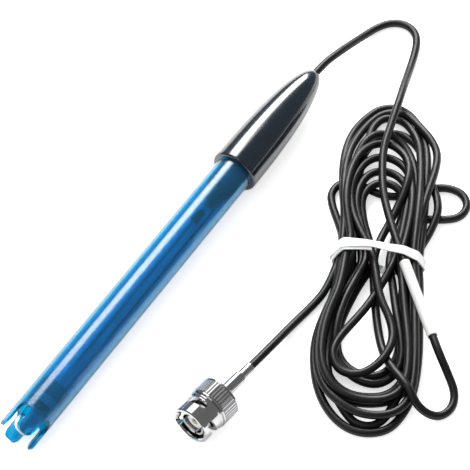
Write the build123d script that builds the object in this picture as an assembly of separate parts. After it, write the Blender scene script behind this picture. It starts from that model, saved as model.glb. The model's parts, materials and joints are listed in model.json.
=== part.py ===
from build123d import *
import os
from math import atan2, cos, degrees, pi, radians, sin, tan

# A combination pH electrode with its lead and bayonet plug, in millimetres.
# It lies along X with the sensing tip at -X, and Z is up from the surface that it rests on.

# Shaft and guard
shaft_d = 12.0
shaft_wall = 1.3
exposed_shaft = 112.0
guard_length = 8.3
guard_tip_round = 0.9
prong_roll_deg = 33.0
prong_count = 4
slot_w = 4.2
slot_mouth_w = 6.2
slot_flare_length = 3.0
spigot_d = 11.2
spigot_length = 9.0

# Cap
cap_d = 15.2
cap_length = 46.6
cap_nose_d = 4.0
cap_rim_round = 0.8
cap_bulge = 2.3
cap_cavity_d = 9.0
cap_cavity_end = 30.0
cap_profile_shares = (0.25, 0.45, 0.62, 0.76, 0.87, 0.95)

# Glass stem, bulb and what they hold
stem_d = 6.0
stem_wall = 0.7
stem_top_below_rim = 6.0
bulb_d = 6.4
bulb_wall = 0.5
bulb_tip = 1.5
stopper_length = 4.4
stopper_below_top = 3.8
spacer_d = 3.0
spacer_length = 3.6
spacer_gap = 4.0
inner_wire_d = 0.5
inner_wire_start = 30.0
reference_wire_d = 0.6
reference_wire_start = 41.6
reference_wire_offset = 3.85
reference_roll_deg = 62.0
junction_start = 12.0
junction_length = 2.0
seal_length = 5.0
potting_below_rim = 8.0
potting_length = 14.0
splice_d = 2.2
splice_length = 5.0
splice_above_rim = 11.5
shield_splice_d = 1.2
pigtail_d = 0.7
pigtail_bend = 2.0

# Cable
cable_d = 2.5
dielectric_d = 1.5
core_d = 0.6
jacket_above_rim = 25.0
strip_length = 5.0
nose_entry = 2.0
bush_d = 5.0
bush_length = 12.0

# Bayonet plug: nut
nut_d = 13.2
nut_groove_d = 12.5
nut_front_d = 12.2
nut_bead_d = 12.8
nut_bore_d = 9.8
nut_length = 13.8
nut_front_length = 6.3
nut_bead_length = 1.0
nut_front_rim_length = 0.5
nut_rim_length = 0.7
nut_groove_length = 0.2
nut_edge = 0.3
nut_shoulder = 8.4
nut_cavity_d = 11.2
knurl_count = 44
knurl_depth = 0.3
knurl_land_share = 0.45
knurl_root_share = 0.7
bayonet_w = 2.2
bayonet_entry_depth = 1.65
bayonet_start = 2.6
bayonet_end = 4.9
bayonet_turn_deg = 125.0
bayonet_steps = 24
bayonet_roll_deg = 117.0

# Bayonet plug: inside
body_flange_length = 1.2
body_hub_d = 9.0
body_length = 4.4
stem_tube_d = 2.8
stem_tube_length = 7.1
contact_d = 8.1
contact_bore_d = 6.8
contact_front = 1.0
contact_relief_d = 7.7
contact_root_d = 7.4
contact_root_length = 2.2
contact_slot_w = 0.5
contact_slot_length = 5.0
contact_slots = 4
contact_roll_deg = 20.0
gasket_d = 9.5
gasket_length = 1.1
insulator_nose_d = 4.75
insulator_nose_bore = 2.2
insulator_front = 2.0
insulator_step = 7.2
insulator_rear_d = 4.8
insulator_rear_length = 1.8
pin_d = 1.35
pin_front = 1.8
pin_point = 0.7
barrel_d = 2.0
spring_height = 0.9
spring_sheet = 0.3
thrust_washer_t = 0.35
ring_t = 0.6
ring_groove_d = 12.0
ring_gap_w = 2.2
nut_play = 0.1
ferrule_front_d = 4.2
ferrule_mid_d = 3.9
ferrule_end_d = 3.1
ferrule_main_length = 9.45
ferrule_end_length = 4.6
cable_in_ferrule = 5.8

# Where the plug lies
plug_front_x = -50.1
plug_front_y = -39.6
plug_heading_deg = 173.5
plug_pitch_deg = 2.0

# Hank, sleeve and tie
hank_x = 31.3
hank_y = -53.0
hank_turn_deg = -62.3
hank_width = 34.0
hank_length = 126.0
hank_height = 6.2
hank_edge = 2.5
# (across, along) as shares of half the width and half the length, going round from the top
hank_outline_shares = (
    (0.05, 1.00), (0.54, 0.93), (0.86, 0.80), (0.99, 0.64), (0.92, 0.40),
    (0.79, 0.14), (0.76, -0.06), (0.79, -0.42), (0.78, -0.72), (0.54, -0.92),
    (0.05, -1.00), (-0.50, -0.93), (-0.88, -0.76), (-1.06, -0.52), (-0.93, -0.26),
    (-0.74, -0.04), (-0.72, 0.20), (-0.81, 0.48), (-0.76, 0.72), (-0.42, 0.92),
)
hank_upper_hole_d = 10.0
hank_upper_hole_length = 26.0
hank_upper_hole_w = 1.5
hank_upper_hole_h = 22.0
hank_lower_hole_d = 9.0
hank_lower_hole_length = 25.0
hank_lower_hole_w = -2.5
hank_lower_hole_h = -25.5
side_loop_d = 14.4
side_loop_bore = 9.0
side_loop_w = 18.5
side_loop_h = 24.4
sleeve_d = 3.2
sleeve_length = 27.0
sleeve_from_bend = 8.2
tie_width = 2.6
tie_thickness = 0.5
tie_waist_share = 0.79
tie_foot_round = 0.3
tie_lead_w = 6.3
tie_lead_z = 8.6
tie_flap_length = 7.0
tie_flap_place_share = 0.25

# Clearances
fit_gap = 0.05
cut_over = 1.0
tie_gap = 0.1
tie_lead_gap = 0.45

# Places that follow from the sizes above
total_length = exposed_shaft + cap_length
stem_top = exposed_shaft - stem_top_below_rim
stopper_start = stem_top - stopper_below_top - stopper_length
spacer_start = stopper_start - spacer_gap - spacer_length
potting_start = exposed_shaft - potting_below_rim
splice_start = exposed_shaft + splice_above_rim
jacket_start = exposed_shaft + jacket_above_rim
slot_root_start = guard_length - slot_w / 2
tilt = atan2((cap_d - shaft_d) / 2, exposed_shaft + cap_rim_round - slot_root_start)
axis_z = shaft_d / 2 * cos(tilt) - slot_root_start * sin(tilt)
electrode_place = Pos(-total_length / 2 * cos(tilt), 0, axis_z) * Rot(0, -degrees(tilt), 0)
plug_pitch = radians(plug_pitch_deg)
plug_front_z = nut_d / 2 * cos(plug_pitch) + nut_length * sin(plug_pitch)
plug_front_place = Pos(plug_front_x, plug_front_y, plug_front_z)
plug_place = plug_front_place * Rot(0, 0, plug_heading_deg) * Rot(0, -plug_pitch_deg, 0)
hank_place = Pos(hank_x, hank_y, 0) * Rot(0, 0, hank_turn_deg)

body_front = -nut_shoulder - nut_play
flange_rear = body_front - body_flange_length
body_rear = body_front - body_length
spring_bore_d = body_hub_d + 2 * fit_gap
ring_bore_d = body_hub_d + 2 * nut_play
washer_front = flange_rear - spring_height
ring_front = washer_front - thrust_washer_t - fit_gap
ferrule_front = body_rear - fit_gap
ferrule_step = ferrule_front - ferrule_main_length
plug_rear = ferrule_step - ferrule_end_length


# A solid of revolution about X from points of (place along the axis, radius)
def turned(*points):
    outline = make_face(Polyline(*points, close=True))
    return revolve(outline, Axis.X)


# A ring or sleeve along X
def ring(start, length, outer_d, bore_d):
    return turned(
        (start, bore_d / 2), (start + length, bore_d / 2),
        (start + length, outer_d / 2), (start, outer_d / 2),
    )


# A plain round bar along X, off the axis by a distance in Z
def bar(start, length, diameter, offset=0):
    return Pos(start, 0, offset) * Rot(0, 90, 0) * Cylinder(
        diameter / 2, length, align=(Align.CENTER, Align.CENTER, Align.MIN)
    )


# Turns a shape about the electrode's axis to the side where the reference wire lies
def roll_reference(shape):
    return Rot(reference_roll_deg, 0, 0) * shape


def place_on_electrode(shape):
    return electrode_place * shape


def place_on_plug(shape):
    return plug_place * shape


def save(name, shape):
    shape.label = name
    export_step(shape, "parts/" + name + ".step")


# Guarded body tube: one moulding with four prongs around the bulb and a spigot for the cap
def guard_slot():
    mouth = slot_mouth_w / 2
    root = slot_w / 2
    edges = [
        ThreePointArc((slot_root_start, root), (guard_length, 0), (slot_root_start, -root)),
        Line((-cut_over, -mouth), (-cut_over, mouth)),
    ]
    for side in (1, -1):
        flare_from = (0, side * mouth)
        flare_to = (slot_flare_length, side * root)
        flare_in = (slot_flare_length / 2, side * (root - mouth))
        edges.append(Line((-cut_over, side * mouth), flare_from))
        edges.append(Spline(flare_from, flare_to, tangents=(flare_in, (1, 0))))
        edges.append(Line((slot_flare_length, side * root), (slot_root_start, side * root)))
    return extrude(make_face(Wire(edges)), shaft_d / 2 + cut_over, both=True)


def make_body_tube():
    outer = shaft_d / 2
    bore = outer - shaft_wall
    tip_r = outer - guard_tip_round
    tip_arc = TangentArc((guard_tip_round, outer), (0, tip_r), tangent=(-1, 0))
    walls = Polyline(
        (0, tip_r), (0, bore), (exposed_shaft + spigot_length, bore),
        (exposed_shaft + spigot_length, spigot_d / 2), (exposed_shaft, spigot_d / 2),
        (exposed_shaft, outer), (guard_tip_round, outer),
    )
    tube = revolve(make_face(Wire([tip_arc] + walls.edges())), Axis.X)
    slots = prong_count // 2
    for index in range(slots):
        tube -= Rot((index + 0.5) * 180 / slots, 0, 0) * guard_slot()
    return Rot(prong_roll_deg, 0, 0) * tube


# Glass stem and bulb: one blown piece, open at the top
def make_glass():
    centre = bulb_tip + bulb_d / 2
    stem_length = stem_top - centre
    outside = bar(centre, stem_length, stem_d) + Pos(centre, 0, 0) * Sphere(bulb_d / 2)
    bore_d = stem_d - 2 * stem_wall
    inside = bar(centre, stem_length + cut_over, bore_d)
    inside += Pos(centre, 0, 0) * Sphere(bulb_d / 2 - bulb_wall)
    return outside - inside


def make_potting():
    bore_d = shaft_d - 2 * shaft_wall
    plug = bar(potting_start, potting_length, bore_d - 2 * fit_gap)
    plug -= bar(potting_start - cut_over, stem_top - potting_start + cut_over, stem_d + 2 * fit_gap)
    plug -= bar(potting_start, potting_length + cut_over, inner_wire_d + 2 * fit_gap)
    wire_hole_d = reference_wire_d + 2 * fit_gap
    wire_hole_length = potting_length + 2 * cut_over
    wire_hole = bar(potting_start - cut_over, wire_hole_length, wire_hole_d, reference_wire_offset)
    return plug - roll_reference(wire_hole)


# Cap: a bullet shape that narrows to the cable, hollow inside
def cap_radius(share):
    return cap_d / 2 * (1 - share ** cap_bulge) ** (1 / cap_bulge)


def make_cap():
    rim = exposed_shaft
    nose = exposed_shaft + cap_length
    end_share = (1 - (cap_nose_d / cap_d) ** cap_bulge) ** (1 / cap_bulge)
    shoulder = rim + cap_rim_round
    crown = [(shoulder, cap_d / 2)]
    for share in cap_profile_shares:
        crown.append((shoulder + (nose - shoulder) * share, cap_radius(share * end_share)))
    crown.append((nose, cap_nose_d / 2))
    outside = Spline(*crown, tangents=((1, 0), (cap_rim_round, -cap_nose_d)))
    rim_arc = TangentArc((shoulder, cap_d / 2), (rim, cap_d / 2 - cap_rim_round), tangent=(-1, 0))
    seat_r = spigot_d / 2 + fit_gap
    seat_end = rim + spigot_length + fit_gap
    cavity_end = rim + cap_cavity_end
    bush_r = bush_d / 2 + fit_gap
    bush_end = cavity_end + bush_length + fit_gap
    hole_r = cable_d / 2 + fit_gap
    inside = Polyline(
        (rim, cap_d / 2 - cap_rim_round), (rim, seat_r), (seat_end, seat_r),
        (seat_end, cap_cavity_d / 2), (cavity_end, cap_cavity_d / 2), (cavity_end, bush_r),
        (bush_end, bush_r), (bush_end, hole_r), (nose, hole_r), (nose, cap_nose_d / 2),
    )
    return revolve(make_face(Wire([outside, rim_arc] + inside.edges())), Axis.X)


# Stripped end of the cable inside the cap: jacket, insulation and core
def make_cable_end():
    jacket_end = total_length - nose_entry
    strip = jacket_start - strip_length
    core_end = splice_start + splice_length
    return turned(
        (core_end, 0), (core_end, core_d / 2), (strip, core_d / 2), (strip, dielectric_d / 2),
        (jacket_start, dielectric_d / 2), (jacket_start, cable_d / 2),
        (jacket_end, cable_d / 2), (jacket_end, 0),
    )


# Braid lead from the jacket's cut end to the splice on the reference wire
def make_pigtail():
    start = splice_start + splice_length
    on_jacket = cable_d / 2 + pigtail_d / 2
    end = jacket_start + strip_length / 2
    bend_from = start + (jacket_start - start) / 4
    bend_to = jacket_start - (jacket_start - start) / 8
    path = FilletPolyline(
        (start, 0, reference_wire_offset), (bend_from, 0, reference_wire_offset),
        (bend_to, 0, on_jacket), (end, 0, on_jacket), radius=pigtail_bend,
    )
    return sweep(Plane(path @ 0, z_dir=path % 0) * Circle(pigtail_d / 2), path)


def make_electrode():
    tube_bore = shaft_d - 2 * shaft_wall
    stem_bore = stem_d - 2 * stem_wall
    seal_start = junction_start + junction_length
    reference_length = splice_start - reference_wire_start
    wire = bar(reference_wire_start, reference_length, reference_wire_d, reference_wire_offset)
    shield = bar(splice_start, splice_length, shield_splice_d, reference_wire_offset)
    stopper = ring(stopper_start, stopper_length, stem_bore, inner_wire_d + 2 * fit_gap)
    spacer = ring(spacer_start, spacer_length, spacer_d, inner_wire_d)
    bush = ring(exposed_shaft + cap_cavity_end, bush_length, bush_d, cable_d)
    return {
        "body_tube": make_body_tube(),
        "glass_stem_bulb": make_glass(),
        "reference_junction": ring(junction_start, junction_length, tube_bore, stem_d),
        "lower_seal": ring(seal_start, seal_length, tube_bore, stem_d),
        "inner_wire": bar(inner_wire_start, splice_start - inner_wire_start, inner_wire_d),
        "wire_spacer": spacer,
        "stem_stopper": stopper,
        "reference_wire": roll_reference(wire),
        "potting_plug": make_potting(),
        "cap": make_cap(),
        "cable_bush": bush,
        "cable_end": make_cable_end(),
        "core_splice": bar(splice_start, splice_length, splice_d),
        "shield_splice": roll_reference(shield),
        "shield_pigtail": roll_reference(make_pigtail()),
    }


# Coupling nut: knurled grip at the rear, smooth front sleeve with two bayonet tracks
def knurled_band(start, length):
    ridge = nut_d / 2
    corners = ((0, ridge), (knurl_land_share, ridge), (knurl_root_share, ridge - knurl_depth))
    points = []
    for index in range(knurl_count):
        for share, radius in corners:
            angle = (index + share) * 2 * pi / knurl_count
            points.append((radius * cos(angle), radius * sin(angle)))
    face = Plane.YZ.offset(start) * make_face(Polyline(*points, close=True))
    return extrude(face, length)


def bayonet_track():
    reach = nut_d / 2 + cut_over
    cutter = Cylinder(bayonet_w / 2, reach, align=(Align.CENTER, Align.CENTER, Align.MIN))
    entry_r = nut_bore_d / 2 + bayonet_entry_depth / 2
    entry = Pos(-bayonet_start / 2, 0, entry_r / 2) * Box(bayonet_start + bayonet_w, bayonet_w, entry_r)
    track = [entry]
    for step in range(bayonet_steps + 1):
        share = step / bayonet_steps
        place = bayonet_start + (bayonet_end - bayonet_start) * sin(share * pi / 2)
        track.append(Rot(-bayonet_turn_deg * share, 0, 0) * Pos(-place, 0, 0) * cutter)
    return track


def make_nut():
    bead_start = -nut_front_length
    bead_end = bead_start - nut_bead_length
    rim_start = bead_end - nut_groove_length
    rim_end = rim_start - nut_front_rim_length
    knurl_start = rim_end - nut_groove_length
    rear_rim = -nut_length + nut_rim_length
    knurl_end = rear_rim + nut_groove_length
    front = nut_front_d / 2
    bead = nut_bead_d / 2
    outer = nut_d / 2
    groove = nut_groove_d / 2
    bore = nut_bore_d / 2
    cavity = nut_cavity_d / 2
    ring_slot = ring_groove_d / 2
    ring_rear = ring_front - ring_t - 2 * fit_gap
    shell = turned(
        (0, bore + nut_edge), (0, front - nut_edge), (-nut_edge, front), (bead_start, front),
        (bead_start - nut_edge, bead), (bead_end + nut_edge, bead), (bead_end, front),
        (rim_start, front), (rim_start, outer), (rim_end, outer), (rim_end, groove),
        (rear_rim, groove), (rear_rim, outer), (nut_edge - nut_length, outer),
        (-nut_length, outer - nut_edge), (-nut_length, cavity), (ring_rear, cavity),
        (ring_rear, ring_slot), (ring_front, ring_slot),
        (ring_front, cavity), (-nut_shoulder, cavity), (-nut_shoulder, bore), (-nut_edge, bore),
    )
    band = knurled_band(knurl_end, knurl_start - knurl_end)
    band -= bar(knurl_end - cut_over, knurl_start - knurl_end + 2 * cut_over, nut_groove_d - nut_edge)
    shell += band
    track = bayonet_track()
    for turn in (0, 180):
        for cutter in track:
            shell -= Rot(bayonet_roll_deg + turn, 0, 0) * cutter
    return shell


def make_plug_body():
    cavity = nut_cavity_d / 2 - nut_play
    bore = contact_root_d / 2 + fit_gap
    bore_end = body_front - contact_root_length - fit_gap
    rear_bore = insulator_rear_d / 2 + fit_gap
    stem_rear = body_rear - stem_tube_length
    stem_bore = dielectric_d / 2 + fit_gap
    floor = bore_end - insulator_rear_length
    return turned(
        (body_front, bore), (body_front, cavity), (flange_rear, cavity),
        (flange_rear, body_hub_d / 2), (body_rear, body_hub_d / 2),
        (body_rear, stem_tube_d / 2), (stem_rear, stem_tube_d / 2),
        (stem_rear, stem_bore), (floor, stem_bore), (floor, rear_bore),
        (bore_end, rear_bore), (bore_end, bore),
    )


def make_contact_sleeve():
    root_end = body_front - contact_root_length
    relief = body_front + gasket_length
    sleeve = turned(
        (-contact_front, contact_bore_d / 2), (-contact_front, contact_d / 2), (relief, contact_d / 2),
        (relief, contact_relief_d / 2), (body_front, contact_relief_d / 2),
        (body_front, contact_root_d / 2), (root_end, contact_root_d / 2), (root_end, contact_bore_d / 2),
    )
    slot_end = -contact_front - contact_slot_length
    slot_box = Box(cut_over - slot_end, contact_slot_w, contact_d + cut_over)
    slot = Pos((slot_end + cut_over) / 2, 0, 0) * slot_box
    for index in range(contact_slots // 2):
        sleeve -= Rot(contact_roll_deg + index * 360 / contact_slots, 0, 0) * slot
    return sleeve


def make_insulator():
    base_r = contact_bore_d / 2 - fit_gap
    root_end = body_front - contact_root_length
    rear_end = root_end - insulator_rear_length + fit_gap
    hole = barrel_d / 2 + fit_gap
    return turned(
        (-insulator_front, insulator_nose_bore / 2), (-insulator_front, insulator_nose_d / 2),
        (-insulator_step, insulator_nose_d / 2), (-insulator_step, base_r), (root_end, base_r),
        (root_end, insulator_rear_d / 2), (rear_end, insulator_rear_d / 2), (rear_end, hole),
        (-insulator_step, hole), (-insulator_step, insulator_nose_bore / 2),
    )


def make_centre_contact():
    rear = body_front - contact_root_length - insulator_rear_length + fit_gap
    return turned(
        (-pin_front, 0), (-pin_front - pin_point, pin_d / 2), (-insulator_step - fit_gap, pin_d / 2),
        (-insulator_step - fit_gap, barrel_d / 2), (rear, barrel_d / 2), (rear, 0),
    )


# Dished spring washer between the body's flange and the thrust washer
def make_spring():
    inner = spring_bore_d / 2
    outer = nut_cavity_d / 2 - nut_play
    lift = spring_height - spring_sheet
    return turned(
        (flange_rear, inner), (flange_rear - spring_sheet, inner),
        (flange_rear - spring_sheet - lift, outer), (flange_rear - lift, outer),
    )


def make_retaining_ring():
    band = ring(ring_front - fit_gap - ring_t, ring_t, ring_groove_d - 2 * fit_gap, ring_bore_d)
    gap_box = Box(2 * ring_t + cut_over, ring_gap_w, ring_groove_d / 2)
    gap = Pos(ring_front, 0, ring_groove_d / 2) * gap_box
    return band - gap


def make_ferrule():
    stem_bore = stem_tube_d / 2 + fit_gap
    cable_bore = cable_d / 2 + fit_gap
    neck = plug_rear + cable_in_ferrule + fit_gap
    return turned(
        (ferrule_front, stem_bore), (ferrule_front, ferrule_front_d / 2),
        (ferrule_step, ferrule_mid_d / 2), (ferrule_step, ferrule_end_d / 2),
        (plug_rear, ferrule_end_d / 2), (plug_rear, cable_bore), (neck, cable_bore), (neck, stem_bore),
    )


def make_plug():
    core_front = body_front - contact_root_length - insulator_rear_length
    core_rear = plug_rear + cable_in_ferrule
    gasket = ring(body_front, gasket_length, gasket_d, contact_relief_d)
    return {
        "plug_body": make_plug_body(),
        "contact_sleeve": make_contact_sleeve(),
        "plug_insulator": make_insulator(),
        "centre_contact": make_centre_contact(),
        "plug_gasket": gasket,
        "coupling_nut": make_nut(),
        "spring_washer": make_spring(),
        "thrust_washer": ring(
            washer_front - thrust_washer_t, thrust_washer_t, nut_cavity_d - 2 * nut_play, ring_bore_d
        ),
        "retaining_ring": make_retaining_ring(),
        "crimp_ferrule": make_ferrule(),
        "tail_core": bar(core_rear, core_front - core_rear, dielectric_d),
    }


# A point on the electrode's or the plug's own axis, in the part's frame
def axis_point(place, along):
    return (place * Pos(along, 0, 0)).position


# Ends of the straight run that carries the white sleeve
sleeve_run_start = Vector(37.0, -55.3, 8.7)
sleeve_run_end = Vector(9.5, -86.2, 7.6)

# Route of the lead from the cap, over the hank, under the tie, through the sleeve and back to the hank
lead_route = [
    axis_point(electrode_place, total_length - nose_entry),
    axis_point(electrode_place, total_length + 2 * cable_d),
    Vector(92.0, -1.2, 7.5),
    Vector(99.5, -1.8, 5.2),
    Vector(106.5, -2.2, 2.6),
    Vector(113.0, -3.3, 1.3),
    Vector(117.6, -6.4, 1.3),
    Vector(119.2, -11.2, 1.3),
    Vector(117.2, -15.6, 1.3),
    Vector(112.8, -18.2, 1.3),
    Vector(106.0, -20.5, 1.5),
    Vector(99.0, -22.8, 3.2),
    Vector(92.0, -25.4, 6.6),
    Vector(84.5, -28.0, 8.3),
    Vector(75.5, -30.6, 7.9),
    Vector(65.5, -33.6, 8.0),
    Vector(57.0, -38.4, 7.9),
    Vector(49.0, -43.8, 8.0),
    sleeve_run_start,
    sleeve_run_end,
    Vector(6.8, -91.0, 4.2),
    Vector(3.6, -95.6, 1.7),
    Vector(-1.8, -97.3, 1.3),
    Vector(-6.6, -94.9, 1.4),
    Vector(-7.9, -89.6, 1.9),
    Vector(-5.2, -84.8, 2.9),
]

# Route of the tail from under the tie to the plug
tail_route = [
    Vector(21.6, -44.3, 2.9),
    Vector(14.2, -44.9, 1.6),
    Vector(5.0, -44.6, 1.3),
    Vector(-5.5, -43.6, 1.7),
    axis_point(plug_place, plug_rear - 3 * cable_d),
    axis_point(plug_place, plug_rear + cable_in_ferrule),
]


# Radius of the arc at each corner: as large as its two runs allow
def corner_radii(route):
    radii = []
    for before, corner, after in zip(route, route[1:], route[2:]):
        run_in = corner - before
        run_out = after - corner
        turn = radians(run_in.get_angle(run_out))
        radii.append(0.45 * min(run_in.length, run_out.length) / tan(turn / 2))
    return radii


def make_cord(name, route):
    radii = corner_radii(route)
    path = FilletPolyline(*route, radius=radii)
    tube = sweep(Plane(path @ 0, z_dir=path % 0) * Circle(cable_d / 2), path)
    section = pi * (cable_d / 2) ** 2
    print(name, "length", round(path.length, 1), "radii", [round(r, 1) for r in radii])
    print(name, "volume", round(tube.volume, 1), "section times length", round(section * path.length, 1))
    return tube


# White sleeve on the straight stretch that follows the tie
def make_sleeve():
    along = (sleeve_run_end - sleeve_run_start).normalized()
    plane = Plane(sleeve_run_start + along * sleeve_from_bend, z_dir=along)
    band = Circle(sleeve_d / 2) - Circle(cable_d / 2)
    return extrude(plane * band, sleeve_length)


# Hank: the outer shape of the loose turns, with the two open lobes and the small loop at its side
def make_hank():
    points = [(w * hank_width / 2, h * hank_length / 2) for w, h in hank_outline_shares]
    outline = make_face(Spline(*points, periodic=True))
    solid = extrude(outline, hank_height)
    solid = fillet(solid.faces().sort_by(Axis.Z)[-1].edges(), hank_edge)
    upper = Ellipse(hank_upper_hole_d / 2, hank_upper_hole_length / 2)
    lower = Ellipse(hank_lower_hole_d / 2, hank_lower_hole_length / 2)
    solid -= extrude(Pos(hank_upper_hole_w, hank_upper_hole_h) * upper, hank_height + cut_over)
    solid -= extrude(Pos(hank_lower_hole_w, hank_lower_hole_h) * lower, hank_height + cut_over)
    loop = Pos(side_loop_w, side_loop_h) * extrude(Circle(side_loop_d / 2), cable_d)
    loop_hole = Pos(side_loop_w, side_loop_h) * extrude(Circle(side_loop_bore / 2), cable_d)
    solid += loop - (loop_hole - solid)
    groove_d = tie_thickness + tie_gap
    groove = Box(hank_width * 2, tie_width + 2 * tie_gap, 2 * groove_d)
    return hank_place * (solid - groove)


# Tie: a flat band around the waist and over the lead, with a short folded end on top
def make_tie():
    half_span = hank_width / 2 * tie_waist_share + tie_gap
    foot_z = tie_thickness + tie_foot_round
    foot_w = half_span - tie_foot_round
    top_z = hank_height - hank_edge + tie_gap
    top_w = half_span - hank_edge
    lead_r = cable_d / 2 + tie_lead_gap
    circles = [
        Pos(-foot_w, foot_z) * Circle(tie_foot_round),
        Pos(foot_w, foot_z) * Circle(tie_foot_round),
        Pos(-top_w, top_z) * Circle(hank_edge),
        Pos(top_w, top_z) * Circle(hank_edge),
        Pos(tie_lead_w, tie_lead_z) * Circle(lead_r),
    ]
    inside = make_hull([edge for circle in circles for edge in circle.edges()])
    outside = offset(inside, tie_thickness)
    plane = Plane((0, tie_width / 2, 0), x_dir=(1, 0, 0), z_dir=(0, -1, 0))
    band = extrude(plane * (outside - inside), tie_width)
    corner_top = top_z + hank_edge + tie_thickness
    rise = tie_lead_z + lead_r + tie_thickness - corner_top
    span = tie_lead_w + top_w
    flap_w = -top_w + span * tie_flap_place_share
    flap_z = corner_top + rise * tie_flap_place_share + tie_thickness / 4
    flap = Rot(0, -degrees(atan2(rise, span)), 0) * Box(tie_flap_length, tie_width, tie_thickness)
    return hank_place * (band + Pos(flap_w, 0, flap_z) * flap)


def main():
    os.makedirs("parts", exist_ok=True)
    for name, shape in make_electrode().items():
        save(name, place_on_electrode(shape))
    for name, shape in make_plug().items():
        save(name, place_on_plug(shape))
    save("cord_lead_in", make_cord("cord_lead_in", lead_route))
    save("cord_tail", make_cord("cord_tail", tail_route))
    save("cord_sleeve", make_sleeve())
    save("cord_hank", make_hank())
    save("cord_tie", make_tie())


main()
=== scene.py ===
"""Dresses a combination pH electrode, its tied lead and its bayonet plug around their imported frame."""

import json
import logging
import math
from dataclasses import dataclass, field

import bmesh
import bpy
import numpy as np
from mathutils import Matrix, Vector


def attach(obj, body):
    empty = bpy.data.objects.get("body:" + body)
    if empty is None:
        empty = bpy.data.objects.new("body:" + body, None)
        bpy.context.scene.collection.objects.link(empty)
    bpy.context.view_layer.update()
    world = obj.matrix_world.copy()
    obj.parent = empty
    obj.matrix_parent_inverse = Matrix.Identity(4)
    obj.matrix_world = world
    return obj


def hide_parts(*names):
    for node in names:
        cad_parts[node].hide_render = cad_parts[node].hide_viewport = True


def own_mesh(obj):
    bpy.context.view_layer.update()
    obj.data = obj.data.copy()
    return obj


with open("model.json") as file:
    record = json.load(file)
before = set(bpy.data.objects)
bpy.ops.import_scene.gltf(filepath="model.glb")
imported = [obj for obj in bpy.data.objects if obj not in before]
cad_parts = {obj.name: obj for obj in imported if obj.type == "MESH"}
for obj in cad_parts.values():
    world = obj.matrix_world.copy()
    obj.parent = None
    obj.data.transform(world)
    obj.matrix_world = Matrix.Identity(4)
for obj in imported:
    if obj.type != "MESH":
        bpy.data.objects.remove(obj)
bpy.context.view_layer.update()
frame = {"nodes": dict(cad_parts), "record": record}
LOG = logging.getLogger("electrode")
MM = 0.001
ROOT = "root"


def linear(red: float, green: float, blue: float) -> tuple[float, float, float, float]:
    """Turns a colour as seen on screen, 0 to 255, into the light values that a shader takes.

    Args:
        red: Red, 0 to 255.
        green: Green, 0 to 255.
        blue: Blue, 0 to 255.

    Returns:
        Linear red, green and blue with full alpha.
    """
    parts = []
    for value in (red, green, blue):
        share = value / 255
        parts.append(share / 12.92 if share <= 0.04045 else ((share + 0.055) / 1.055) ** 2.4)
    return (parts[0], parts[1], parts[2], 1.0)


def link(piece: bpy.types.Object) -> bpy.types.Object:
    """Puts a new object in the scene.

    Args:
        piece: The object.

    Returns:
        The same object.
    """
    bpy.context.scene.collection.objects.link(piece)
    return piece


def finish_mesh(name: str, bm: bmesh.types.BMesh, material: bpy.types.Material, sharp_deg: float = 35.0):
    """Turns a working mesh into an object with smooth shading between sharp edges.

    Args:
        name: Name of the piece.
        bm: The working mesh, which is freed.
        material: Finish of the piece.
        sharp_deg: Edges that turn by more than this stay sharp.

    Returns:
        The new object, linked to the scene.
    """
    mesh = bpy.data.meshes.new(name)
    limit = math.radians(sharp_deg)
    for edge in bm.edges:
        edge.smooth = len(edge.link_faces) == 2 and edge.calc_face_angle(0.0) < limit
    for face in bm.faces:
        face.smooth = True
    bm.to_mesh(mesh)
    bm.free()
    mesh.materials.append(material)
    return link(bpy.data.objects.new(name, mesh))


def dressed_copy(node: str, material: bpy.types.Material, sharp_deg: float = 35.0) -> bpy.types.Object:
    """Makes a merged, smoothly shaded copy of a solid, which then stands for it.

    Args:
        node: Name of the solid.
        material: Finish of the copy.
        sharp_deg: Edges that turn by more than this stay sharp.

    Returns:
        The copy, riding on the solid's body.
    """
    source = frame["nodes"][node]
    bm = bmesh.new()
    bm.from_mesh(source.data)
    for layer in list(bm.loops.layers.uv.values()):
        bm.loops.layers.uv.remove(layer)
    bmesh.ops.remove_doubles(bm, verts=bm.verts, dist=0.002 * MM)
    piece = finish_mesh(node + "_dressed", bm, material, sharp_deg)
    attribute = piece.data.attributes.get("custom_normal")
    if attribute is not None:
        piece.data.attributes.remove(attribute)
    seat(piece, body_of(node), slot_of(node), node)
    return piece


def body_of(node: str) -> str:
    """Returns the name of the body that a solid belongs to."""
    for body, nodes in frame["record"]["behaviour"]["bodies"].items():
        if node in nodes:
            return body
    return ROOT


def slot_of(node: str) -> str:
    """Returns the record's material slot of a solid."""
    for row in frame["record"]["subparts"]:
        if row["node"] == node:
            return row["material_slot"]
    raise KeyError(node)


def seat(piece: bpy.types.Object, body: str, slot: str, *nodes: str) -> None:
    """Makes a piece ride on a body and hides the solids that it stands for.

    Args:
        piece: The finished piece.
        body: Body that carries it.
        slot: Material slot in the record; not used.
        nodes: Solids that it replaces.
    """
    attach(piece, body)
    if nodes:
        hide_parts(*nodes)
    LOG.info("%s rides on %s", piece.name, body)


@dataclass(frozen=True)
class Stand:
    """The straight frame of a turned sub-assembly: X along its axis, Y level."""

    mount: str
    along: float
    sign: int

    def matrix(self) -> Matrix:
        """Returns the matrix from the sub-assembly's own frame to the part's frame."""
        row = next(row for row in frame["record"]["mounts"] if row["name"] == self.mount)
        axis_x = (Vector(row["axis"]) * self.sign).normalized()
        axis_y = Vector((0, 0, 1)).cross(axis_x).normalized()
        axis_z = axis_x.cross(axis_y)
        origin = Vector(row["pos_m"]) - axis_x * self.along
        turn = Matrix((axis_x, axis_y, axis_z)).transposed()
        return Matrix.Translation(origin) @ turn.to_4x4()


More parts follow.
